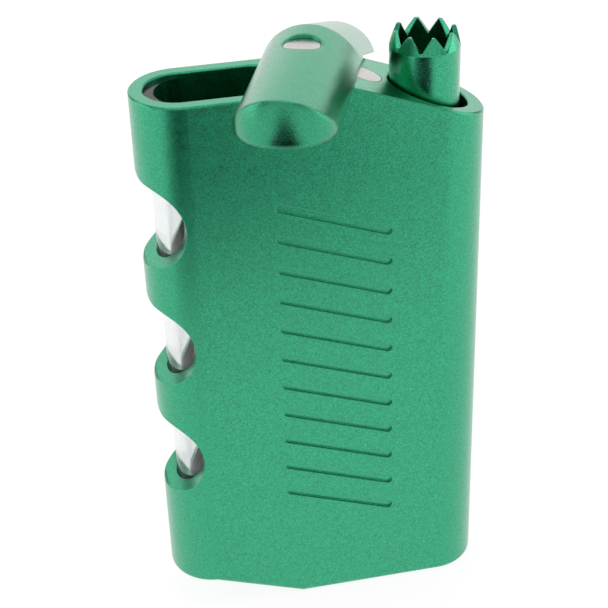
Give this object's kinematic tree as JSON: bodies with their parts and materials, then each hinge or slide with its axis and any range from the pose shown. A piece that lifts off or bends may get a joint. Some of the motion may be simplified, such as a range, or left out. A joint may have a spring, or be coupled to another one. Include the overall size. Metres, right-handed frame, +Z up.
{
  "type": "dugout pocket case",
  "caption": "Slim round-ended metal pocket case: a swivel lid over a herb chamber, finger notches onto a clear liner, and a toothed tube that springs up from a bore.",
  "frame": {"origin": "middle of the case's plan, on the flat of its bottom", "axes": "+X towards the bat, -Y is the front face, +Z up along the case"},
  "size_m": [0.0604, 0.0572, 0.1134],
  "materials": {
    "anodised_green": "bead-blasted and anodised green",
    "clear_acrylic": "clear, polished",
    "nickel": "nickel plated, satin",
    "steel": "plain steel",
    "acetal": "natural acetal"
  },
  "bodies": {
    "case": {"case": "anodised_green", "window_liner": "clear_acrylic", "slope_magnet": "nickel", "pivot_washer": "acetal", "pivot_screw": "steel", "bat_spring": "steel"},
    "lid": {"swivel_lid": "anodised_green", "lid_disc": "nickel", "arm_magnet": "nickel", "pivot_pin": "steel"},
    "bat": {"digger_bat": "anodised_green"}
  },
  "joints": [
    {"name": "lid_swivel", "type": "hinge", "parent": "case", "child": "lid", "pos_m": [0, 0, 0.1056], "axis": [0, 0, 1], "range_deg": [-69, 0]},
    {"name": "bat_slide", "type": "slide", "parent": "case", "child": "bat", "axis": [0, 0, 1], "range_m": [-0.02408, 0], "deforming": ["bat_spring"]}
  ],
  "couplings": [
    {"joint": "lid_swivel", "follows": "bat_slide", "rad_per_m": 50}
  ]
}
